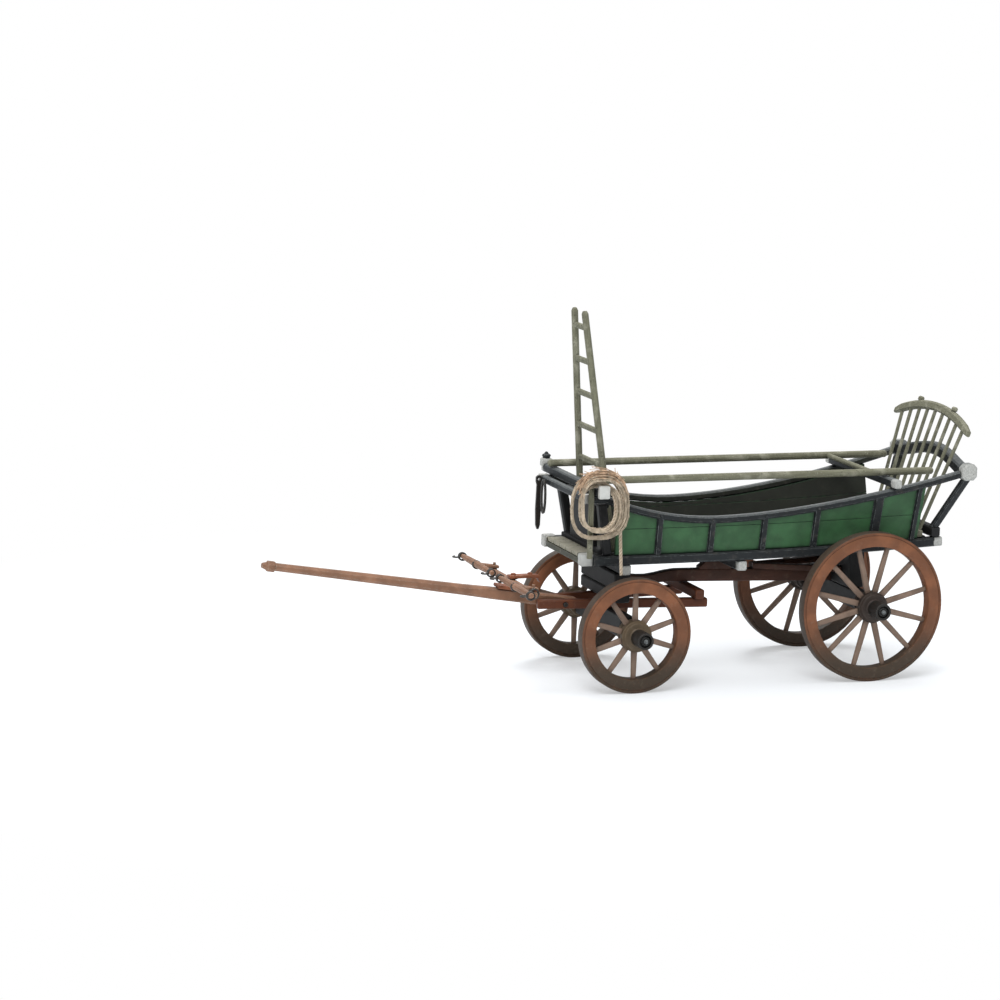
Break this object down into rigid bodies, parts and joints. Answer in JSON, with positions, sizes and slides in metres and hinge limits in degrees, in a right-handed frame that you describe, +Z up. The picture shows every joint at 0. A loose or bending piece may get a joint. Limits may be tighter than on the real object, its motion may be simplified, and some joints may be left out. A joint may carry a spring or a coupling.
{
  "type": "model hay wagon",
  "caption": "Model hay wagon with a boat-shaped plank bed, steering forecarriage, spoked wheels, pole with evener and swingletrees, tail rack, hay poles and a front ladder.",
  "frame": {"origin": "centre of the footprint, on the ground the wheels stand on", "axes": "-X to the front, +Y to the right side, +Z up"},
  "size_m": [0.0638, 0.0202, 0.0327],
  "materials": {
    "green_paint": "matt dark green paint, worn darker at the edges",
    "blue_black_paint": "matt blue-black paint, rubbed grey on the edges",
    "red_brown_paint": "matt red-brown paint, dusty",
    "olive_grey_wood": "matt olive-grey, speckled",
    "bare_grey_boards": "matt grey board, weathered",
    "dark_iron": "dull dark iron",
    "hemp_rope": "fuzzy twisted thread"
  },
  "bodies": {
    "wagon": {"floor": "bare_grey_boards", "left_sill": "blue_black_paint", "right_sill": "blue_black_paint", "left_lower_plank": "green_paint", "left_upper_plank": "green_paint", "right_lower_plank": "green_paint", "right_upper_plank": "green_paint", "left_side_frame": "blue_black_paint", "right_side_frame": "blue_black_paint", "front_gate": "blue_black_paint", "front_crossbar": "blue_black_paint", "rein_bar": "blue_black_paint", "rear_bar": "blue_black_paint", "rear_crossbeam": "blue_black_paint", "rear_low_beam": "blue_black_paint", "left_rear_post": "blue_black_paint", "right_rear_post": "blue_black_paint", "footboard": "bare_grey_boards", "footboard_bearer": "blue_black_paint", "front_stake": "olive_grey_wood", "front_cross_beam": "blue_black_paint", "mid_cross_beam": "blue_black_paint", "front_bolster": "blue_black_paint", "king_pin": "dark_iron", "perch": "red_brown_paint", "rear_hounds": "red_brown_paint", "rear_bolster": "blue_black_paint", "rear_axle": "dark_iron", "rear_axle_bed": "blue_black_paint", "rope_coil": "hemp_rope", "rope_tail": "hemp_rope"},
    "forecarriage": {"front_axle": "dark_iron", "front_axle_bed": "blue_black_paint", "left_hound": "red_brown_paint", "right_hound": "red_brown_paint", "sway_bar": "red_brown_paint", "sand_board": "blue_black_paint", "pole_pin": "dark_iron"},
    "pole": {"pole": "red_brown_paint", "pole_plate": "red_brown_paint", "evener_bolt": "dark_iron"},
    "evener": {"evener": "red_brown_paint"},
    "left_swingletree": {"left_swingletree": "red_brown_paint"},
    "right_swingletree": {"right_swingletree": "red_brown_paint"},
    "front_left_wheel": {"front_left_wheel": "red_brown_paint", "front_left_tyre": "dark_iron"},
    "front_right_wheel": {"front_right_wheel": "red_brown_paint", "front_right_tyre": "dark_iron"},
    "rear_left_wheel": {"rear_left_wheel": "red_brown_paint", "rear_left_tyre": "dark_iron"},
    "rear_right_wheel": {"rear_right_wheel": "red_brown_paint", "rear_right_tyre": "dark_iron"},
    "ladder": {"ladder": "olive_grey_wood"},
    "tail_rack": {"tail_rack": "olive_grey_wood"},
    "hay_poles": {"left_hay_pole": "olive_grey_wood", "right_hay_pole": "olive_grey_wood", "hay_pole_rod": "olive_grey_wood"},
    "strap_iron": {"strap_iron": "dark_iron"},
    "hanging_link": {"hanging_link": "dark_iron"}
  },
  "joints": [
    {"name": "steer", "type": "hinge", "parent": "wagon", "child": "forecarriage", "pos_m": [-0.0004, 0, 0.00828], "axis": [0, 0, 1], "range_deg": [-28, 28]},
    {"name": "front_left_spin", "type": "hinge", "parent": "forecarriage", "child": "front_left_wheel", "pos_m": [-0.0004, -0.00743, 0.00505], "axis": [0, 1, 0], "continuous": true},
    {"name": "front_right_spin", "type": "hinge", "parent": "forecarriage", "child": "front_right_wheel", "pos_m": [-0.0004, 0.00743, 0.00505], "axis": [0, 1, 0], "continuous": true},
    {"name": "rear_left_spin", "type": "hinge", "parent": "wagon", "child": "rear_left_wheel", "pos_m": [0.022, -0.00743, 0.0067], "axis": [0, 1, 0], "continuous": true},
    {"name": "rear_right_spin", "type": "hinge", "parent": "wagon", "child": "rear_right_wheel", "pos_m": [0.022, 0.00743, 0.0067], "axis": [0, 1, 0], "continuous": true},
    {"name": "pole_pitch", "type": "hinge", "parent": "forecarriage", "child": "pole", "pos_m": [-0.0047, 0, 0.00679], "axis": [0, 1, 0], "range_deg": [0, 12]},
    {"name": "evener_swing", "type": "hinge", "parent": "pole", "child": "evener", "pos_m": [-0.00913, 0, 0.00864], "axis": [0.1526, 0, 0.9883], "range_deg": [-20, 20]},
    {"name": "left_swing", "type": "hinge", "parent": "evener", "child": "left_swingletree", "pos_m": [-0.00913, -0.00515, 0.00864], "axis": [0.1526, 0, 0.9883], "range_deg": [-12, 12]},
    {"name": "right_swing", "type": "hinge", "parent": "evener", "child": "right_swingletree", "pos_m": [-0.00913, 0.00515, 0.00864], "axis": [0.1526, 0, 0.9883], "range_deg": [-12, 12]},
    {"name": "ladder_lift", "type": "slide", "parent": "wagon", "child": "ladder", "axis": [-0.1115, 0, 0.9938], "range_m": [0, 0.01]},
    {"name": "rack_lift", "type": "slide", "parent": "wagon", "child": "tail_rack", "axis": [0.3173, 0, 0.9483], "range_m": [0, 0.005]},
    {"name": "hay_pole_lift", "type": "slide", "parent": "wagon", "child": "hay_poles", "axis": [0, 0, 1], "range_m": [0, 0.004]},
    {"name": "strap_swing", "type": "hinge", "parent": "wagon", "child": "strap_iron", "pos_m": [-0.00511, 0.005, 0.01684], "axis": [0, 1, 0], "range_deg": [0, 40]},
    {"name": "link_swing", "type": "hinge", "parent": "wagon", "child": "hanging_link", "pos_m": [-0.00511, 0.0037, 0.01684], "axis": [0, 1, 0], "range_deg": [0, 40]}
  ]
}
